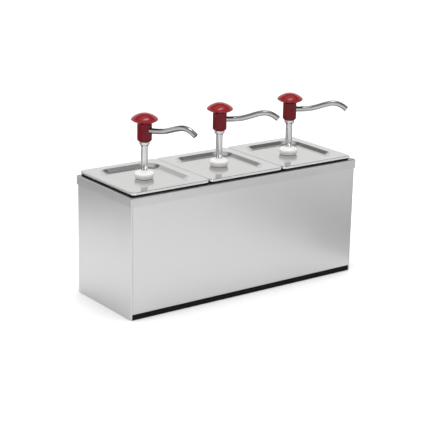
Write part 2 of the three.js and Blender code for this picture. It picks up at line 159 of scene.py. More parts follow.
def circle(radius, height, steps, centre=(0, 0)):
    angles = [2 * math.pi * k / steps for k in range(steps)]
    return [
        (centre[0] + radius * math.cos(a), centre[1] + radius * math.sin(a), height)
        for a in angles
    ]


def rounded_rectangle(length, depth, radius, height, centre=(0, 0)):
    """An outline counterclockwise from its +X +Y corner."""
    outline = []
    for quarter, (side_x, side_y) in enumerate(((1, 1), (-1, 1), (-1, -1), (1, -1))):
        for k in range(CORNER_STEPS + 1):
            a = (quarter + k / CORNER_STEPS) * math.pi / 2
            x = centre[0] + side_x * (length / 2 - radius) + radius * math.cos(a)
            y = centre[1] + side_y * (depth / 2 - radius) + radius * math.sin(a)
            outline.append((x, y, height))
    return outline


# ---- Meshes ----

def skin(rings, looped=False):
    """Vertices and faces of a stack of rings that all have the same number of points."""
    count = len(rings[0])
    vertices = [p for ring in rings for p in ring]
    faces = []
    for band in range(len(rings) if looped else len(rings) - 1):
        low = band * count
        high = (band + 1) % len(rings) * count
        for side in range(count):
            after = (side + 1) % count
            faces.append((low + side, low + after, high + after, high + side))
    if not looped:
        faces.append(tuple(reversed(range(count))))
        faces.append(tuple(range(len(vertices) - count, len(vertices))))
    return vertices, faces


def make_piece(name, shape, material, body, nodes, bevel=0.0):
    """One closed piece of the object, riding on its body and standing for its CAD nodes."""
    vertices, faces = shape
    mesh = bpy.data.meshes.new(name)
    mesh.from_pydata([Vector(v) * MM for v in vertices], [], faces)
    bm = bmesh.new()
    bm.from_mesh(mesh)
    bmesh.ops.remove_doubles(bm, verts=bm.verts, dist=MERGE_DISTANCE)
    bmesh.ops.recalc_face_normals(bm, faces=bm.faces)
    bm.to_mesh(mesh)
    bm.free()
    for polygon in mesh.polygons:
        polygon.use_smooth = True
    mesh.set_sharp_from_angle(angle=SMOOTH_ANGLE)
    mesh.materials.append(material)
    piece = bpy.data.objects.new(name, mesh)
    bpy.context.scene.collection.objects.link(piece)
    if bevel:
        edge = piece.modifiers.new("edges", "BEVEL")
        edge.width = bevel * MM
        edge.segments = BEVEL_STEPS
        edge.limit_method = "ANGLE"
        edge.angle_limit = BEVEL_ANGLE
    weighted = piece.modifiers.new("normals", "WEIGHTED_NORMAL")
    weighted.keep_sharp = True
    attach(piece, body)
    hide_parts(*nodes)
    return piece


def turned(profile, centre):
    """A closed profile of (radius, height, corner radius) turned round an upright axis."""
    return skin([circle(r, z, TURN_STEPS, centre) for r, z in rounded(profile)], looped=True)


def pressed(length, depth, sections, centre):
    """Rings of pressed sheet, from (inset, height, outline's corner radius, bend's radius)."""
    path = rounded(sections, closed=False)
    return [
        rounded_rectangle(length - 2 * inset, depth - 2 * inset, radius, z, centre)
        for inset, z, radius in path
    ]


def drawn(section, place):
    """A closed section carried along a straight line: place(a, b, end) puts its points."""
    path = rounded(section)
    return skin([[place(a, b, end) for a, b in path] for end in (0, 1)])


# ---- Materials ----

# The part of its range that a noise mostly stays in.
NOISE_LOW = 0.3
NOISE_HIGH = 0.7


def scaled(tone, share):
    return tuple(v * share for v in tone)


class Nodes:
    """Short names for building one material's nodes."""

    def __init__(self, name):
        self.material = bpy.data.materials.new(name)
        self.material.use_nodes = True
        self.tree = self.material.node_tree
        self.shader = self.tree.nodes["Principled BSDF"]
        self.place = self.tree.nodes.new("ShaderNodeTexCoord").outputs["Object"]

    def link(self, source, target):
        self.tree.links.new(source, target)

    def noise(self, scale, detail=3.0, stretch=(1, 1, 1), roughness=0.5):
        mapping = self.tree.nodes.new("ShaderNodeMapping")
        mapping.inputs["Scale"].default_value = stretch
        self.link(self.place, mapping.inputs["Vector"])
        noise = self.tree.nodes.new("ShaderNodeTexNoise")
        noise.inputs["Scale"].default_value = scale
        noise.inputs["Detail"].default_value = detail
        noise.inputs["Roughness"].default_value = roughness
        self.link(mapping.outputs["Vector"], noise.inputs["Vector"])
        return noise.outputs["Fac"]

    def ramp(self, source, low, high):
        node = self.tree.nodes.new("ShaderNodeMapRange")
        node.inputs["From Min"].default_value = NOISE_LOW
        node.inputs["From Max"].default_value = NOISE_HIGH
        node.inputs["To Min"].default_value = low
        node.inputs["To Max"].default_value = high
        self.link(source, node.inputs["Value"])
        return node.outputs["Result"]

    def colours(self, source, low, high):
        node = self.tree.nodes.new("ShaderNodeValToRGB")
        ends = ((NOISE_LOW, low), (NOISE_HIGH, high))
        for stop, (place, tone) in zip(node.color_ramp.elements, ends):
            stop.position = place
            stop.color = (*tone, 1)
        self.link(source, node.inputs["Fac"])
        return node.outputs["Color"]

    def add(self, a, b, share=0.5):
        node = self.tree.nodes.new("ShaderNodeMix")
        node.inputs["Factor"].default_value = share
        self.link(a, node.inputs["A"])
        self.link(b, node.inputs["B"])
        return node.outputs["Result"]

    def bump(self, source, strength, distance):
        node = self.tree.nodes.new("ShaderNodeBump")
        node.inputs["Strength"].default_value = strength
        node.inputs["Distance"].default_value = distance
        self.link(source, node.inputs["Height"])
        self.link(node.outputs["Normal"], self.shader.inputs["Normal"])

    def feed(self, socket, source):
        self.link(source, self.shader.inputs[socket])

    def set(self, **values):
        for socket, value in values.items():
            self.shader.inputs[socket.replace("_", " ")].default_value = value


def brushed_steel(name, tone, roughness, grain):
    """Satin sheet steel. grain stretches the noise: a small number is along the brushing."""
    n = Nodes(name)
    fine = n.noise(900, detail=4, stretch=grain, roughness=0.65)
    broad = n.noise(7)
    n.feed("Base Color", n.colours(n.add(fine, broad, 0.55), scaled(tone, 0.96), tone))
    n.feed("Roughness", n.ramp(n.add(fine, broad, 0.4), roughness - 0.05, roughness + 0.05))
    n.bump(fine, strength=0.1, distance=2e-5)
    n.set(Metallic=1.0)
    return n.material


def polished_steel(name, tone, roughness):
    """Bright steel with faint wiping marks."""
    n = Nodes(name)
    wiped = n.noise(260, detail=4, stretch=(1, 1, 0.12), roughness=0.6)
    broad = n.noise(30, detail=2)
    n.feed("Base Color", n.colours(broad, scaled(tone, 0.95), tone))
    n.feed("Roughness", n.ramp(n.add(wiped, broad), roughness * 0.7, roughness * 1.3))
    n.bump(wiped, strength=0.03, distance=2e-5)
    n.set(Metallic=1.0)
    return n.material


def lid_steel(name, tone, roughness):
    """Half polished pressed steel: soft, slightly uneven reflections and fine scuffs."""
    n = Nodes(name)
    scuffs = n.noise(500, detail=5, stretch=(1, 0.15, 1), roughness=0.7)
    broad = n.noise(14)
    n.feed("Base Color", n.colours(broad, scaled(tone, 0.95), tone))
    n.feed("Roughness", n.ramp(n.add(scuffs, broad, 0.6), roughness * 0.75, roughness * 1.25))
    n.bump(n.add(scuffs, broad, 0.7), strength=0.05, distance=8e-5)
    n.set(Metallic=0.9)
    return n.material


def gloss_plastic(name, low, high, roughness, shine):
    """Moulded gloss plastic with a faint ripple and slightly dull patches."""
    n = Nodes(name)
    ripple = n.noise(110, detail=2)
    fine = n.noise(900)
    n.feed("Base Color", n.colours(n.noise(60), low, high))
    n.feed("Roughness", n.ramp(n.add(ripple, fine), roughness * 0.8, roughness * 1.3))
    n.bump(n.add(ripple, fine, 0.25), strength=0.06, distance=2e-4)
    n.set(Coat_Weight=0.08, Coat_Roughness=0.06, IOR=1.5, Specular_IOR_Level=shine)
    return n.material


def satin_plastic(name, low, high, roughness, grain, depth, shine=0.5):
    """Moulded plastic with an even fine grain: grain is its noise's scale, depth its height."""
    n = Nodes(name)
    fine = n.noise(grain)
    broad = n.noise(45)
    n.feed("Base Color", n.colours(broad, low, high))
    n.feed("Roughness", n.ramp(n.add(fine, broad), roughness - 0.06, roughness + 0.06))
    n.bump(fine, strength=0.25, distance=depth)
    n.set(IOR=1.48, Specular_IOR_Level=shine)
    return n.material


# Which way the brushing runs.
UPRIGHT = (1, 1, 0.012)
LEVEL = (0.012, 0.012, 1)
PAN_DRAW = (1, 1, 0.05)

CASE_STEEL = brushed_steel("case_steel", (0.565, 0.565, 0.568), 0.36, UPRIGHT)
BAND_STEEL = brushed_steel("band_steel", (0.52, 0.52, 0.52), 0.34, LEVEL)
PAN_STEEL = brushed_steel("pan_steel", (0.62, 0.62, 0.62), 0.30, PAN_DRAW)
LID_STEEL = lid_steel("lid_steel", (0.64, 0.635, 0.63), 0.13)
CHROME = polished_steel("bright_steel", (0.56, 0.56, 0.56), 0.09)
# The spouts' steel is the stem's bright steel made darker: painted shade, for dimmer reflections
# along the spouts.
SHADED_SPOUT_STEEL = polished_steel("spout_steel_painted_shade", (0.42, 0.415, 0.41), 0.17)
RED = gloss_plastic(
    "red_plastic", (0.205, 0.008, 0.012), (0.25, 0.011, 0.016), roughness=0.14, shine=0.36,
)
# The knobs' red plastic darkened for the heads: painted shade, for the shadow under the knobs and
# the weaker light on the heads.
SHADED_RED = gloss_plastic(
    "shaded_red_plastic", (0.115, 0.002, 0.006), (0.15, 0.003, 0.008), roughness=0.14, shine=0.14,
)
WHITE = satin_plastic(
    "white_plastic", (0.82, 0.81, 0.79), (0.88, 0.875, 0.86),
    roughness=0.38, grain=700, depth=3e-5,
)
# Flat black for the base tray, whose edges show as the dark strip along the bottom of the front and
# rear panels.
BLACK = satin_plastic(
    "black_plastic", (0.006, 0.008, 0.008), (0.010, 0.012, 0.012),
    roughness=0.6, grain=900, depth=8e-5, shine=0.04,
)
# Flat black for the band inside each lid's edge, which makes the dark line under the lids.
LID_EDGE_BLACK = satin_plastic(
    "black_rubber", (0.006, 0.007, 0.007), (0.011, 0.012, 0.012),
    roughness=0.75, grain=800, depth=6e-5, shine=0.1,
)
RUBBER = satin_plastic(
    "pale_rubber", (0.60, 0.57, 0.50), (0.67, 0.64, 0.57),
    roughness=0.62, grain=800, depth=6e-5,
)


# ---- Case ----

def top_frame():
    """Folded band with a flange inwards round one long opening."""
    (x0, y0, z0), (x1, y1, z1) = span("top_frame")
    length, depth = x1 - x0, y1 - y0
    flange_z = z1 - SHEET
    inner_bend = BAND_BEND - SHEET
    outer = pressed(length, depth, [
        (8, flange_z, 1.0, 0),
        (SHEET, flange_z, 1.0, inner_bend),
        (SHEET, z0, 1.0, 0.3),
        (0, z0, PANEL_BEND, 0.3),
        (0, z1, PANEL_BEND, BAND_BEND),
        (8, z1, PANEL_BEND, 0),
    ], (0, 0))

    def opening(grow, z):
        return rounded_rectangle(
            OPENING_LENGTH + grow, OPENING_DEPTH + grow, OPENING_RADIUS, z, (OPENING_SHIFT, 0)
        )
    inner = [opening(0.6, z1), opening(0.1, z1 - 0.3), opening(0, z1 - 0.6), opening(0, flange_z)]
    make_piece(
        "top_frame_visual", skin(outer + inner, looped=True),
        BAND_STEEL, "case", ["top_frame"],
    )


def crossbar(node):
    """Channel from front to rear, open downwards."""
    (x0, y0, z0), (x1, y1, z1) = span(node)
    section = [
        (x0, z1, 1.6), (x0, z0, 0.2), (x0 + SHEET, z0, 0.2), (x0 + SHEET, z1 - SHEET, 0.5),
        (x1 - SHEET, z1 - SHEET, 0.5), (x1 - SHEET, z0, 0.2), (x1, z0, 0.2), (x1, z1, 1.6),
    ]
    shape = drawn(section, lambda a, b, end: (a, y1 if end else y0, b))
    make_piece(f"{node}_visual", shape, CASE_STEEL, "case", [node])


def end_panel(node, side):
    """Sheet down to the table, folded round the case's corners at both of its edges."""
    (x0, y0, z0), (x1, y1, z1) = span(node)
    face = x0 if side < 0 else x1
    fold = face - side * PANEL_RETURN
    skin_x = face - side * SHEET
    section = [
        (fold, y0, 0.2), (fold, y0 + SHEET, 0.2), (skin_x, y0 + SHEET, PANEL_BEND - SHEET),
        (skin_x, y1 - SHEET, PANEL_BEND - SHEET), (fold, y1 - SHEET, 0.2), (fold, y1, 0.2),
        (face, y1, PANEL_BEND), (face, y0, PANEL_BEND),
    ]
    shape = drawn(section, lambda a, b, end: (a, b, z1 if end else z0))
    make_piece(f"{node}_visual", shape, CASE_STEEL, "case", [node], PANEL_EDGE)


def long_panel(node, side):
    """Front or rear sheet, folded inwards over the tray."""
    (x0, y0, z0), (x1, y1, z1) = span(node)
    face, edge = (y0, y1) if side < 0 else (y1, y0)
    skin_y = face - side * SHEET
    section = [
        (face, z1, 0.2), (face, z0, 1.5), (edge, z0, 0.2), (edge, z0 + SHEET, 0.2),
        (skin_y, z0 + SHEET, 0.4), (skin_y, z1, 0.2),
    ]
    shape = drawn(section, lambda a, b, end: (x1 if end else x0, a, b))
    make_piece(f"{node}_visual", shape, CASE_STEEL, "case", [node], PANEL_EDGE)


def dish(node, gauge, material):
    """A flat floor with an upright edge all round."""
    (x0, y0, z0), (x1, y1, z1) = span(node)
    outer, inner = PANEL_BEND, DISH_INNER_RADIUS
    rings = pressed(x1 - x0, y1 - y0, [
        (6, z0, outer, 0), (0, z0, outer, 1.0), (0, z1, outer, 0.3), (gauge, z1, inner, 0.3),
        (gauge, z0 + gauge, inner, 0.6), (6, z0 + gauge, inner, 0),
    ], ((x0 + x1) / 2, (y0 + y1) / 2))
    make_piece(f"{node}_visual", skin(rings), material, "case", [node])


# ---- Pan and lid ----

LID_GAUGE = 1.0
LID_SINK = 5.4
LID_SKIRT = 4.2
LID_HOLE_RADIUS = 12.5
SEAL_LAP = 1.2

# The rounded square that places the points round the lid's hole: its sides and corner radius.
HOLE_GUIDE = (60, 60, 22)


def pan(station, centre):
    """Deep drawn pan with tapered walls and a flat rim."""
    node = f"pan_{station}"
    (x0, y0, z0), (x1, y1, z1) = span(node)
    rings = pressed(x1 - x0, y1 - y0, [
        (39, z0, 14, 0), (22.9, z0, 23, 4), (18, z0 + 7, 27, 9), (11.1, z1 - 8.8, 30, 3),
        (10.3, z1 - SHEET, 31, 1.6), (0, z1 - SHEET, 7, 0.3), (0, z1, 7, 0.4),
        (10.6, z1, 31, 2.4), (12, z1 - 8.8, 29.5, 3), (19, z0 + 8, 26.5, 9),
        (23.7, z0 + 1, 22.5, 4), (39, z0 + 1, 14, 0),
    ], centre)
    make_piece(
        f"{node}_visual", skin(rings), PAN_STEEL, f"{station}_pan_body", [node]
    )


def lid(station, centre):
    """Pressed lid with a raised border, a sunk floor and a turned-down edge."""
    node = f"lid_{station}"
    (x0, y0, z0), (x1, y1, z1) = span(node)
    floor = z1 - LID_SINK
    skirt = z1 - LID_SKIRT
    under_floor = floor - LID_GAUGE
    under_border = z1 - LID_GAUGE
    rings = pressed(x1 - x0, y1 - y0, [
        (32, under_floor, 18, 0), (24.6, under_floor, 22.6, 3.0),
        (18.6, under_border, 27.4, 2.4), (LID_GAUGE, under_border, 7, 0.5),
        (LID_GAUGE, skirt, 7, 0.2), (0, skirt, 8, 0.2), (0, z1, 8, 1.5),
        (17.9, z1, 28.2, 3.4), (25.2, floor, 22.8, 3.4), (32, floor, 18, 0),
    ], centre)

    def hole(z):
        """A circle whose points face those of the outlines, so the floor's faces don't twist."""
        ring = []
        for x, y, _ in rounded_rectangle(*HOLE_GUIDE, z):
            a = math.atan2(y, x)
            ring.append((
                centre[0] + LID_HOLE_RADIUS * math.cos(a),
                centre[1] + LID_HOLE_RADIUS * math.sin(a), z,
            ))
        return ring
    rings = [hole(under_floor), *rings, hole(floor)]
    make_piece(
        f"{node}_visual", skin(rings, looped=True),
        LID_STEEL, f"{station}_lid_body", [node],
    )


def lid_seal(station, centre):
    """Black band inside the lid's turned-down edge, lapping round the edge of the pan's rim; it
    shows as the dark line under the lid.
    """
    node = f"lid_seal_{station}"
    (x0, y0, z0), (x1, y1, z1) = span(node)
    inside = z0 + SEAL_LAP
    rings = pressed(x1 - x0, y1 - y0, [
        (4, inside, 6, 0), (SEAL_LAP, inside, 6, 0.2), (SEAL_LAP, z0, 6, 0.4), (0, z0, 7, 0.5),
        (0, z1, 7, 1.4), (8, z1, 6, 0.6), (8, inside, 6, 0.4), (4, inside, 6, 0),
    ], centre)
    make_piece(
        f"{node}_visual", skin(rings[:-1], looped=True),
        LID_EDGE_BLACK, f"{station}_lid_body", [node],
    )


# ---- Pump: what stays with the lid ----

RIB_COUNT = 36
RIB_DEPTH = 0.28
RIB_STEPS = 6
RIB_INNER_RADIUS = 13.0

# Heights above the nut's bottom where its ribs begin and end, and how far they take to fade.
RIB_START, RIB_FADE_IN = 0.4, 1.2
RIB_END, RIB_FADE_OUT = 10.0, 1.6


def lock_nut(station, centre):
    """Ribbed white nut with a domed shoulder and a low cone that guides the stem."""
    node = f"lock_nut_{station}"
    z0, z1 = heights(node)
    profile = rounded([
        (12.3, z0, 0.2), (15.2, z0, 0.8), (17.5, z0 + 5.6, 3.0), (17.3, z0 + 9.2, 2.6),
        (13.8, z0 + 11.6, 3.0), (8.9, z0 + 12.6, 1.2), (7.9, z1, 0.8), (6.3, z1, 0.3),
        (6.3, z0 + 8.2, 0.3), (12.3, z0 + 8.2, 0.3),
    ])
    steps = RIB_COUNT * RIB_STEPS
    rings = []
    for radius, z in profile:
        share = 0.0
        if radius > RIB_INNER_RADIUS:
            fade_in = (z - z0 - RIB_START) / RIB_FADE_IN
            fade_out = (z0 + RIB_END - z) / RIB_FADE_OUT
            share = max(0.0, min(1.0, fade_in, fade_out))
        ring = []
        for k in range(steps):
            a = 2 * math.pi * k / steps
            r = radius - RIB_DEPTH * share * (1 - math.cos(RIB_COUNT * a)) / 2
            ring.append((centre[0] + r * math.cos(a), centre[1] + r * math.sin(a), z))
        rings.append(ring)
    make_piece(
        f"{node}_visual", skin(rings, looped=True),
        WHITE, f"{station}_lid_body", [node],
    )


# Profiles of the turned pieces, as (radius, height, corner radius).

def cylinder(z0, z1):
    roof = z1 - 16.3
    flange = z1 - 11.9
    return [
        (16, z0, 0.3), (18, z0, 0.5), (18, flange - 3, 1.2), (21, flange - 3, 0.5),
        (21, flange, 0.5), (12, flange, 0.5), (12, z1, 0.6), (6.3, z1, 0.4), (6.3, roof, 0.4),
        (16, roof, 1.2),
    ]


def inlet_cap(z0, z1):
    floor = z0 + 21
    return [
        (3.6, z0, 0.4), (5.5, z0, 0.6), (5.5, z0 + 16, 1.0), (21, z0 + 16, 1.5),
        (21, z1 - 1, 0.8), (18.3, z1 - 1, 0.4), (18.3, floor + 2.7, 0.4),
        (15.5, floor + 2.7, 0.3), (15.5, floor, 1.0), (9, floor, 1.0), (9, z1, 0.6),
        (4.8, z1, 0.4), (4.8, z1 - 1.5, 0.4), (6.8, z1 - 1.5, 0.8), (6.8, floor + 0.4, 1.0),
        (4.5, floor - 3, 2), (3.6, floor - 7, 2),
    ]


def suction_tube(z0, z1):
    return [(5.8, z0, 0.4), (7.6, z0, 0.5), (7.6, z1, 0.5), (5.8, z1, 0.4)]


# ---- Pump: what goes down with the knob ----

def piston(z0, z1):
    return [
        (3.5, z0, 0.6), (15.5, z0, 0.9), (15.5, z0 + 6, 0.3), (13, z0 + 6, 0.3),
        (13, z0 + 12, 0.3), (15.5, z0 + 12, 0.3), (15.5, z1, 0.9), (6.3, z1, 0.5),
        (6.3, z1 - 3.6, 0.2), (5.8, z1 - 3.6, 0.2), (5.8, z0 + 6, 1.0), (3.5, z0 + 2.5, 1.0),
    ]


def piston_seal(z0, z1):
    middle = (z0 + z1) / 2
    return [
        (13.3, z0, 0.5), (15.2, z0, 0.8), (15.7, middle, 1.5), (15.2, z1, 0.8), (13.3, z1, 0.5)
    ]


def stem(z0, z1):
    return [(4, z0, 0.3), (6, z0, 0.5), (6, z1, 0.5), (4, z1, 0.3)]


def collar(z0, z1):
    return [
        (6.3, z0, 0.2), (7.1, z0, 0.5), (9, z0 + 2.6, 0.9), (9, z1, 0.8), (6.3, z1, 0.3)
    ]


# ---- Pump: valve balls and return spring ----

BALL_STEPS = 24


def ball(z0, z1):
    """A half circle, which closes along the axis."""
    radius = (z1 - z0) / 2
    angles = [math.pi * k / BALL_STEPS for k in range(BALL_STEPS + 1)]
    return [(radius * math.sin(a), z0 + radius - radius * math.cos(a), 0) for a in angles]


SPRING_COIL_RADIUS = 12.2
SPRING_WIRE_RADIUS = 1.1
SPRING_TURNS = 6
SPRING_STEPS = 40
WIRE_STEPS = 10


def return_spring(station, centre):
    """Coil on the inlet cap's floor, round its ball cage, squashed by the stroke."""
    node = f"return_spring_{station}"
    z0, z1 = heights(node)
    low, high = z0 + SPRING_WIRE_RADIUS, z1 - SPRING_WIRE_RADIUS
    steps = SPRING_TURNS * SPRING_STEPS
    rings = []
    for k in range(steps + 1):
        t = k / steps
        a = 2 * math.pi * SPRING_TURNS * t
        ring = []
        for j in range(WIRE_STEPS):
            b = 2 * math.pi * j / WIRE_STEPS
            r = SPRING_COIL_RADIUS + SPRING_WIRE_RADIUS * math.cos(b)
            z = low + (high - low) * t + SPRING_WIRE_RADIUS * math.sin(b)
            ring.append((centre[0] + r * math.cos(a), centre[1] + r * math.sin(a), z))
        rings.append(ring)
    piece = make_piece(
        f"{node}_visual", skin(rings), CHROME, f"{station}_lid_body", [node]
    )
    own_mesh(piece)


# ---- Head, knob and spout ----

# Heights in the head are measured down from its top.
HEAD_CORNER_RADIUS = 13.3
HEAD_EDGE_RADIUS = 1.0
HEAD_FLAT_STEPS = 12
HEAD_SHORTEST_FLAT = 2.0
HEAD_CHAMFER_STEPS = 3
STEM_HOLE = 6.3
STEM_HOLE_TOP = 18.5
KNOB_SOCKET_RADIUS = 5.0
KNOB_SOCKET_DEPTH = 5.8

# A limit outside the head's corners, which cuts nothing.
HEAD_UNCUT = 20.0

# How far back from its farthest point the spout's end is taken to reach.
SPOUT_TIP_DEPTH = 1.0


def spout_angle(station, centre):
    """Way the spout points: from the pump's axis to the middle of the CAD spout's far end."""
    points = [v.co / MM for v in frame["nodes"][f"spout_{station}"].data.vertices]
    middle = Vector((centre[0], centre[1]))
    tip = max(points, key=lambda p: (p.xy - middle).length)
    far = (tip.xy - middle).length
    tips = [p.xy for p in points if (p.xy - middle).length > far - SPOUT_TIP_DEPTH]
    mean = sum(tips, Vector((0, 0))) / len(tips) - middle
    return math.atan2(mean.y, mean.x)


def octagon(radius, turn):
    """Eight-sided outline with softened corners, as (angle, radius) pairs."""
    corners = []
    for k in range(8):
        a = turn + (k + 0.5) * math.pi / 4
        corners.append((radius * math.cos(a), radius * math.sin(a), HEAD_EDGE_RADIUS))
    path = rounded(corners)
    outline = []
    for i, here in enumerate(path):
        after = path[(i + 1) % len(path)]
        gap = (Vector(after) - Vector(here)).length
        steps = HEAD_FLAT_STEPS if gap > HEAD_SHORTEST_FLAT else 1
        outline += [between(here, after, k / steps) for k in range(steps)]
    return [(math.atan2(y, x), math.hypot(x, y)) for x, y in outline]


def head(station, centre, angle):
    """Eight-sided block with the stem's hole below and the knob's socket above."""
    node = f"head_{station}"
    z0, z1 = heights(node)
    outline = octagon(HEAD_CORNER_RADIUS, angle)
    hole_top = z1 - STEM_HOLE_TOP
    socket_floor = z1 - KNOB_SOCKET_DEPTH

    def ring(z, limit):
        """The outline at height z, cut to a circle where it is wider than limit."""
        return [
            (centre[0] + min(r, limit) * math.cos(a), centre[1] + min(r, limit) * math.sin(a), z)
            for a, r in outline
        ]
    rings = [ring(hole_top, STEM_HOLE), ring(z0 + 0.3, STEM_HOLE), ring(z0, STEM_HOLE + 0.3)]
    chamfer = rounded([
        (9.4, z0, 0), (10.3, z0, 0.6), (13.4, z0 + 3.4, 0.8), (13.4, z0 + 4, 0),
    ], closed=False)
    for a, b in zip(chamfer, chamfer[1:]):
        for k in range(HEAD_CHAMFER_STEPS):
            limit, z = between(a, b, k / HEAD_CHAMFER_STEPS)
            rings.append(ring(z, limit))
    rings += [ring(z0 + 6, HEAD_UNCUT), ring(z1 - 0.6, HEAD_UNCUT)]
    rings += [ring(z1 - 0.15, 12.6), ring(z1, 12)]
    rings += [ring(z1, KNOB_SOCKET_RADIUS), ring(socket_floor, KNOB_SOCKET_RADIUS)]
    # The head takes the darkened red: painted shade under the knob.
    make_piece(
        f"{node}_visual", skin(rings), SHADED_RED, f"{station}_head_body", [node]
    )


KNOB_CURVE_STEPS = 6
KNOB_CAP_HEIGHT = 17.7
KNOB_RIM_HEIGHT = 6.4


def knob(station, centre):
    """Mushroom knob: a spigot, a flared underside, a soft rim and a low dome."""
    node = f"knob_{station}"
    z0, z1 = heights(node)
    low = z1 - KNOB_CAP_HEIGHT
    widest = low + KNOB_RIM_HEIGHT
    rim = (23.85, widest - 0.6)
    underside = smoothed([
        (12.0, low), (16.5, low + 1.0), (20.4, low + 2.7), (22.9, low + 4.5), rim,
    ], KNOB_CURVE_STEPS)
    dome = smoothed([
        rim, (24, widest), (22.7, widest + 2.1), (18.5, widest + 5.5),
        (13, z1 - 2.9), (6.8, z1 - 0.75), (0, z1),
    ], KNOB_CURVE_STEPS)
    spigot = [(0, z0), (4.4, z0), (4.7, z0 + 0.3), (4.7, low), (11.6, low)]
    profile = spigot + underside[:-1] + dome
    rings = [circle(r, z, KNOB_STEPS, centre) for r, z in profile]
    make_piece(
        f"{node}_visual", skin(rings, looped=True),
        RED, f"{station}_head_body", [node],
    )


SPOUT_RADIUS = 5.0
SPOUT_BORE = 3.9
SPOUT_STEPS = 40
SPOUT_ROUTE_STEPS = 8

# The tube's middle line, as (distance from the pump's axis, height above where it leaves the head).
SPOUT_ROUTE = [
    (5.5, 0), (16, 0.3), (28, 1.3), (40, 3), (52, 6.4), (66, 11.2), (78, 14),
    (86, 13.9), (94, 11.4), (100.5, 7.7), (105.5, 4),
]
SPOUT_DROP = 12.6
SPOUT_LIP = 0.25


def spout(station, centre, angle):
    """Bent steel tube, level at first, then a rise, a crest and a turn down to its cut end."""
    node = f"spout_{station}"
    axis_z = heights(f"head_{station}")[1] - SPOUT_DROP
    path = [Vector(p) for p in smoothed(SPOUT_ROUTE, SPOUT_ROUTE_STEPS)]
    along = Vector((math.cos(angle), math.sin(angle), 0))
    side = Vector((-math.sin(angle), math.cos(angle), 0))
    origin = Vector((centre[0], centre[1], axis_z))

    def ring(place, tangent, radius):
        across = along * -tangent.y + Vector((0, 0, 1)) * tangent.x
        middle = origin + along * place.x + Vector((0, 0, place.y))
        return [
            tuple(middle + (across * math.cos(b) + side * math.sin(b)) * radius)
            for b in (2 * math.pi * k / SPOUT_STEPS for k in range(SPOUT_STEPS))
        ]
    count = len(path)
    tangents = [
        (path[min(i + 1, count - 1)] - path[max(i - 1, 0)]).normalized() for i in range(count)
    ]
    end, way = path[-1], tangents[-1]
    path[-1] = end - way * SPOUT_LIP
    outer = [ring(p, t, SPOUT_RADIUS) for p, t in zip(path, tangents)]
    inner = [ring(p, t, SPOUT_BORE) for p, t in zip(path, tangents)]
    lip = [
        ring(end - way * SPOUT_LIP / 2, way, SPOUT_RADIUS - 0.05),
        ring(end, way, SPOUT_RADIUS - 0.25),
        ring(end, way, SPOUT_BORE + 0.2),
        ring(end - way * SPOUT_LIP / 2, way, SPOUT_BORE + 0.03),
    ]
    # The spout takes the darkened steel: painted shade.
    make_piece(
        f"{node}_visual", skin(outer + lip + inner[::-1], looped=True),
        SHADED_SPOUT_STEEL, f"{station}_head_body", [node],
    )


# ---- Assembly ----

TURNED = [
    ("cylinder", cylinder, WHITE, "lid", "white_plastic"),
    ("inlet_cap", inlet_cap, WHITE, "lid", "white_plastic"),
    ("suction_tube", suction_tube, WHITE, "lid", "white_plastic"),
    ("inlet_ball", ball, CHROME, "inlet_ball", "polished_steel"),
    ("piston", piston, WHITE, "piston", "white_plastic"),
    ("piston_seal", piston_seal, RUBBER, "piston", "pale_rubber"),
    ("outlet_ball", ball, CHROME, "outlet_ball", "polished_steel"),
    ("stem", stem, CHROME, "head", "polished_steel"),
    ("collar", collar, CHROME, "head", "polished_steel"),
]

top_frame()
crossbar("crossbar_left")
crossbar("crossbar_right")
end_panel("end_panel_left", -1)
end_panel("end_panel_right", 1)
long_panel("front_panel", -1)
long_panel("rear_panel", 1)
dish("floor_plate", SHEET, CASE_STEEL)
dish("base_tray", TRAY_GAUGE, BLACK)

for station in STATIONS:
    centre = axis_of(station)
    angle = spout_angle(station, centre)
    pan(station, centre)
    lid(station, centre)
    lid_seal(station, centre)
    lock_nut(station, centre)
    return_spring(station, centre)
    for node, profile, material, body, slot in TURNED:
        z0, z1 = heights(f"{node}_{station}")
        make_piece(
            f"{node}_{station}_visual", turned(profile(z0, z1), centre),
            material, f"{station}_{body}_body", [f"{node}_{station}"],
        )
    head(station, centre, angle)
    knob(station, centre)
    spout(station, centre, angle)


# ---- Camera ----

CAMERA_AZIMUTH = math.radians(-36.36)
CAMERA_ELEVATION = math.radians(16.95)
CAMERA_ROLL = math.radians(1.2)
CAMERA_DISTANCE = 2.6162
CAMERA_AIM = (-0.00481, 0.12217)
CAMERA_LENS = 117.2
CAMERA_SENSOR = 36
CAMERA_CLIP = (0.05, 60)


def camera():
    """The photograph's view, from the front and the left, with a slight roll."""
    a, e = CAMERA_AZIMUTH, CAMERA_ELEVATION
    right = Vector((math.cos(a), math.sin(a), 0))
    back = Vector((math.sin(a) * math.cos(e), -math.cos(a) * math.cos(e), math.sin(e)))
    up = back.cross(right)
    c, s = math.cos(CAMERA_ROLL), math.sin(CAMERA_ROLL)
    right, up = right * c + up * s, up * c - right * s
    data = bpy.data.cameras.new("camera")
    data.sensor_width = CAMERA_SENSOR
    data.lens = CAMERA_LENS
    data.clip_start, data.clip_end = CAMERA_CLIP
    cam = bpy.data.objects.new("camera", data)
    bpy.context.scene.collection.objects.link(cam)
    place = right * CAMERA_AIM[0] + up * CAMERA_AIM[1] + back * CAMERA_DISTANCE
    turn = Matrix((right, up, back)).transposed()
    cam.matrix_world = Matrix.Translation(place) @ turn.to_4x4()
    bpy.context.scene.camera = cam


# ---- Floor and light ----

FLOOR_HALF = 14.0
FLOOR_DROP = 0.0004
FLOOR_TONES = ((0.92, 0.92, 0.92), (0.93, 0.93, 0.93))
STAGE_ROUGHNESS = 0.9

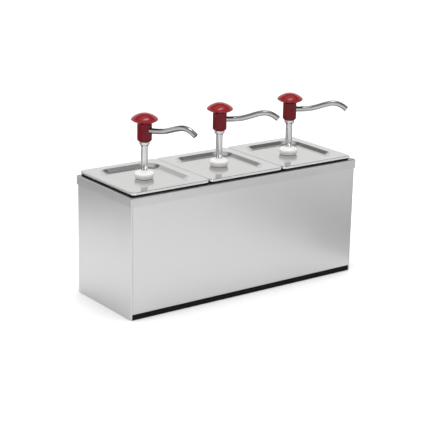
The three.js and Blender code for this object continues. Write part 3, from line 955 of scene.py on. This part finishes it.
# Grey cards that stand round the object, except on the camera's side. Each row has its first
# card's direction in degrees and then every card's grey. They are CARD_SPACING degrees apart.
CARD_RINGS = [
    (60, (0.03, 0.06, 0.50, 0.50, 0.36)),
    (-90, (0.9, 0.9, 0.9, 0.45, 0.06, 0.04)),
]
CARD_SPACING = 25
CARD_RADIUS = 0.62
CARD_WIDTH = 0.30
CARD_HEIGHT = 0.17
CARD_LIFT = 0.04
CARD_NOISE = 4
CARD_VARIATION = 1.1
FLOOR_CARD_LIFT = 0.001


def stage_plane(name, corners, tones, noise):
    """A matt rectangle that isn't part of the object."""
    mesh = bpy.data.meshes.new(name)
    mesh.from_pydata(corners, [], [(0, 1, 2, 3)])
    n = Nodes(name)
    n.feed("Base Color", n.colours(n.noise(noise, detail=2), *tones))
    n.set(Roughness=STAGE_ROUGHNESS)
    mesh.materials.append(n.material)
    plane = bpy.data.objects.new(name, mesh)
    bpy.context.scene.collection.objects.link(plane)
    return plane


def floor():
    """Pale floor, a little below the case so that they don't share a plane."""
    h, z = FLOOR_HALF, -FLOOR_DROP
    stage_plane("floor", [(-h, -h, z), (h, -h, z), (h, h, z), (-h, h, z)], FLOOR_TONES, 2)


def card(name, corners, place, facing, grey):
    """A grey studio card, seen only in reflections."""
    tone = (grey, grey, grey)
    plane = stage_plane(name, corners, (tone, scaled(tone, CARD_VARIATION)), CARD_NOISE)
    plane.location = place
    plane.rotation_euler = (0, 0, facing)
    plane.visible_camera = False
    plane.visible_diffuse = False
    plane.visible_shadow = False


def standing_cards():
    w, h = CARD_WIDTH / 2, CARD_HEIGHT
    corners = [(-w, 0, 0), (w, 0, 0), (w, 0, h), (-w, 0, h)]
    cards = [
        (first + CARD_SPACING * k, grey)
        for first, greys in CARD_RINGS for k, grey in enumerate(greys)
    ]
    for index, (degrees, grey) in enumerate(cards):
        turn = math.radians(degrees)
        spot = (CARD_RADIUS * math.cos(turn), CARD_RADIUS * math.sin(turn), CARD_LIFT)
        card(f"card_{index}", corners, spot, turn - math.pi / 2, grey)


def floor_card(corner, size, grey):
    """A card that lies on the floor, in front of the object and to its right."""
    (x, y), (w, d) = corner, size
    corners = [(x, y, 0), (x + w, y, 0), (x + w, y + d, 0), (x, y + d, 0)]
    card("floor_card", corners, (0, 0, FLOOR_CARD_LIFT), 0, grey)


def area_light(name, place, aim, size, power, glossy=False):
    """A rectangular lamp, which shows in reflections only if it is glossy."""
    data = bpy.data.lights.new(name, "AREA")
    data.shape = "RECTANGLE"
    data.size, data.size_y = size
    data.energy = power
    lamp = bpy.data.objects.new(name, data)
    lamp.location = place
    lamp.visible_glossy = glossy
    lamp.rotation_euler = (Vector(aim) - Vector(place)).to_track_quat("-Z", "Y").to_euler()
    bpy.context.scene.collection.objects.link(lamp)


def sun_light(power, spread):
    """Even soft light from above, which keeps the whole floor white and shows in no reflection."""
    data = bpy.data.lights.new("sky", "SUN")
    data.energy = power
    data.angle = spread
    lamp = bpy.data.objects.new("sky", data)
    lamp.visible_glossy = False
    bpy.context.scene.collection.objects.link(lamp)


# How bright the studio round the object is at each elevation, as (sine of elevation, grey).
STUDIO = [(0.0, 1.0), (0.58, 0.85), (0.67, 0.08), (0.82, 0.08), (0.91, 0.62)]


def world():
    """Spreads STUDIO's greys over the sky. Below the horizon it is as bright as at it."""
    scene = bpy.context.scene
    scene.world = bpy.data.worlds.new("studio")
    scene.world.use_nodes = True
    tree = scene.world.node_tree
    background = tree.nodes["Background"]
    direction = tree.nodes.new("ShaderNodeTexCoord").outputs["Generated"]
    split = tree.nodes.new("ShaderNodeSeparateXYZ")
    ramp = tree.nodes.new("ShaderNodeValToRGB")
    stops = ramp.color_ramp.elements
    while len(stops) < len(STUDIO):
        stops.new(0.5)
    for stop, (place, grey) in zip(stops, STUDIO):
        stop.position = place
        stop.color = (grey, grey, grey, 1)
    tree.links.new(direction, split.inputs["Vector"])
    tree.links.new(split.outputs["Z"], ramp.inputs["Fac"])
    tree.links.new(ramp.outputs["Color"], background.inputs["Color"])
    background.inputs["Strength"].default_value = 1.0


camera()
floor()
world()
sun_light(power=2.4, spread=math.radians(80))
area_light(
    "key", place=(0.0, -0.12, 2.2), aim=(0, 0, 0.3), size=(0.9, 0.3), power=6.5, glossy=True,
)
area_light("side", place=(-2.2, -0.3, 1.0), aim=(0, 0, 0.2), size=(0.8, 0.8), power=4)
floor_card(corner=(0.28, -1.0), size=(0.9, 0.85), grey=0.42)
standing_cards()
bpy.context.scene.view_settings.view_transform = "Standard"
bpy.context.scene.view_settings.look = "None"
